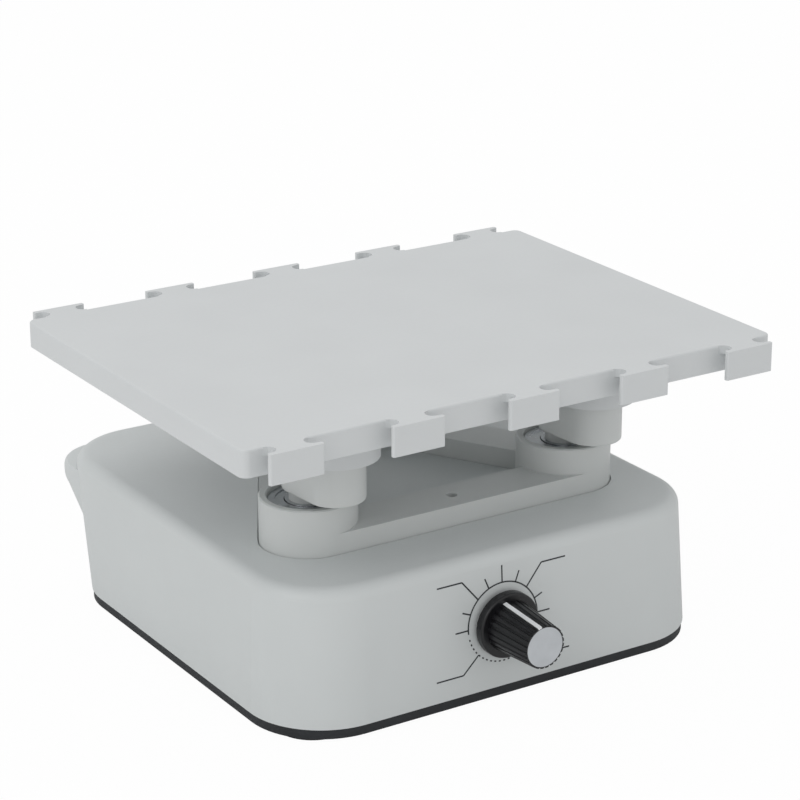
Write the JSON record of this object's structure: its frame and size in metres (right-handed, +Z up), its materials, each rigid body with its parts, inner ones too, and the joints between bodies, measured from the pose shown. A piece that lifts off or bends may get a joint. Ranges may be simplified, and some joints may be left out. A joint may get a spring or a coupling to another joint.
{
  "type": "orbital shaker",
  "caption": "Bench orbital shaker: flat platform with T-shaped tabs, carried on cranks in a triangular frame above a rounded housing with a speed knob.",
  "frame": {"origin": "centre of the housing's footprint, on the bench plane under the feet", "axes": "+Z up, -Y towards the speed knob, +X to the right of a user who faces the knob"},
  "size_m": [0.225, 0.2247, 0.1167],
  "materials": {
    "housing_moulding": "pale grey satin paint",
    "frame_casting": "pale grey satin paint",
    "platform_casting": "pale grey satin paint",
    "black_base": "black moulded plastic",
    "foot_rubber": "black rubber",
    "screw_steel": "zinc plated",
    "bearing_steel": "polished bearing steel",
    "crank_aluminium": "satin, machined",
    "pin_steel": "ground",
    "spring_steel": "blackened",
    "pulley_aluminium": "turned",
    "belt_rubber": "black belt",
    "motor_casing": "plated can",
    "bracket_steel": "zinc plated sheet",
    "board_laminate": "green laminate",
    "component_plastic": "black components",
    "standoff_brass": "plain",
    "knob_plastic": "black, ribbed",
    "knob_cap_grey": "grey",
    "pointer_white": "white line",
    "fitting_plastic": "black",
    "nut_brass": "nickel plated"
  },
  "bodies": {
    "housing": {"housing_shell": "housing_moulding", "base_plate": "black_base", "rubber_feet": "foot_rubber", "base_screws": "screw_steel", "crank_frame": "frame_casting", "frame_screws": "screw_steel", "lower_outer_rings": "bearing_steel", "support_outer_ring": "bearing_steel", "motor_body": "motor_casing", "motor_bracket": "bracket_steel", "motor_screws": "screw_steel", "bracket_screws": "screw_steel", "drive_belt": "belt_rubber", "control_board": "board_laminate", "board_standoffs": "standoff_brass", "board_screws": "screw_steel", "board_components": "component_plastic", "potentiometer_body": "fitting_plastic", "potentiometer_nut": "nut_brass", "potentiometer_washer": "nut_brass", "power_inlet": "fitting_plastic", "inlet_nut": "nut_brass", "switch_body": "fitting_plastic"},
    "crank_rear": {"crank_arm_rear": "crank_aluminium", "crank_pins_rear": "pin_steel", "crank_circlips_rear": "spring_steel", "inner_rings_rear": "bearing_steel", "driven_pulley": "pulley_aluminium", "pulley_set_screw": "screw_steel"},
    "crank_left": {"crank_arm_left": "crank_aluminium", "crank_pins_left": "pin_steel", "crank_circlips_left": "spring_steel", "inner_rings_left": "bearing_steel"},
    "crank_right": {"crank_arm_right": "crank_aluminium", "crank_pins_right": "pin_steel", "crank_circlips_right": "spring_steel", "inner_rings_right": "bearing_steel"},
    "platform": {"platform": "platform_casting", "upper_outer_rings": "bearing_steel"},
    "motor_rotor": {"motor_shaft": "pin_steel", "motor_pulley": "pulley_aluminium"},
    "knob": {"knob_body": "knob_plastic", "knob_cap": "knob_cap_grey", "knob_pointer": "pointer_white", "potentiometer_shaft": "pin_steel"},
    "rocker": {"switch_rocker": "fitting_plastic"}
  },
  "joints": [
    {"name": "crank_rear_spin", "type": "hinge", "parent": "housing", "child": "crank_rear", "pos_m": [0, 0.05811, 0.06], "axis": [0, 0, 1], "continuous": true},
    {"name": "crank_left_spin", "type": "hinge", "parent": "housing", "child": "crank_left", "pos_m": [-0.05625, -0.03931, 0.068], "axis": [0, 0, 1], "continuous": true},
    {"name": "crank_right_spin", "type": "hinge", "parent": "housing", "child": "crank_right", "pos_m": [0.05625, -0.03931, 0.068], "axis": [0, 0, 1], "continuous": true},
    {"name": "platform_pivot", "type": "hinge", "parent": "crank_rear", "child": "platform", "pos_m": [0.00286, 0.04339, 0.09865], "axis": [0, 0, 1], "continuous": true},
    {"name": "motor_spin", "type": "hinge", "parent": "housing", "child": "motor_rotor", "pos_m": [-0.034, -0.012, 0.036], "axis": [0, 0, 1], "continuous": true},
    {"name": "knob_turn", "type": "hinge", "parent": "housing", "child": "knob", "pos_m": [-0.0042, -0.095, 0.0294], "axis": [0, -1, 0], "range_deg": [-151, 119]},
    {"name": "rocker_tilt", "type": "hinge", "parent": "housing", "child": "rocker", "pos_m": [0.052, 0.09508, 0.01951], "axis": [0, -0.2745, -0.9616], "range_deg": [-20, 0]}
  ],
  "couplings": [
    {"joint": "crank_left_spin", "follows": "crank_rear_spin", "ratio": 1},
    {"joint": "crank_right_spin", "follows": "crank_rear_spin", "ratio": 1},
    {"joint": "platform_pivot", "follows": "crank_rear_spin", "ratio": -1},
    {"joint": "motor_spin", "follows": "crank_rear_spin", "ratio": 3.75}
  ]
}
